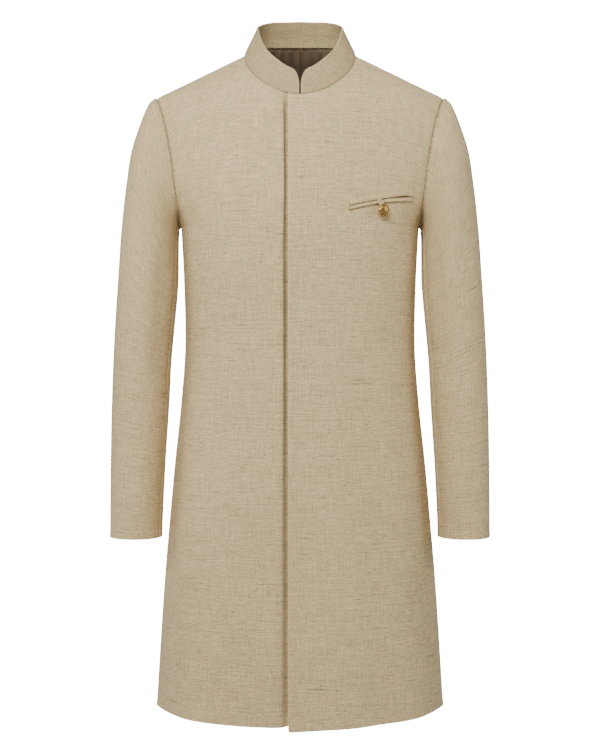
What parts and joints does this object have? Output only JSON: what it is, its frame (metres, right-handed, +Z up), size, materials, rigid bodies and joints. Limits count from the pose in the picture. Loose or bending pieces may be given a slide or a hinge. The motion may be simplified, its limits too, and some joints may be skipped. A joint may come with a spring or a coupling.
{
  "type": "sherwani coat",
  "caption": "Knee-length sherwani coat in beige slubbed linen, filled out as worn with nobody in it: stand collar, concealed front closing, welted chest pocket with a loop and a domed button.",
  "frame": {"origin": "middle of the neck, level with the points where the shoulder seams meet the collar, where the wearer's neck and shoulders hold the coat", "axes": "+Z up along the wearer's body, -Y the way the front faces, +X the wearer's left"},
  "size_m": [0.59, 0.284, 1.0859],
  "materials": {
    "linen": "matte plain weave with horizontal slubs and fine dark flecks",
    "lining": "smooth beige twill with a low sheen",
    "brass": "antique gold, domed, worn bright on the raised parts"
  },
  "bodies": {
    "root": {"front_left": "linen", "front_right": "linen", "back_left": "linen", "back_right": "linen", "sleeve_left_top": "linen", "sleeve_left_under": "linen", "sleeve_right_top": "linen", "sleeve_right_under": "linen", "collar_outer": "linen", "collar_inner": "linen", "pocket_welt_upper": "linen", "pocket_welt_lower": "linen", "pocket_loop": "linen", "back_neck_lining": "lining", "pocket_button": "brass"}
  },
  "joints": []
}
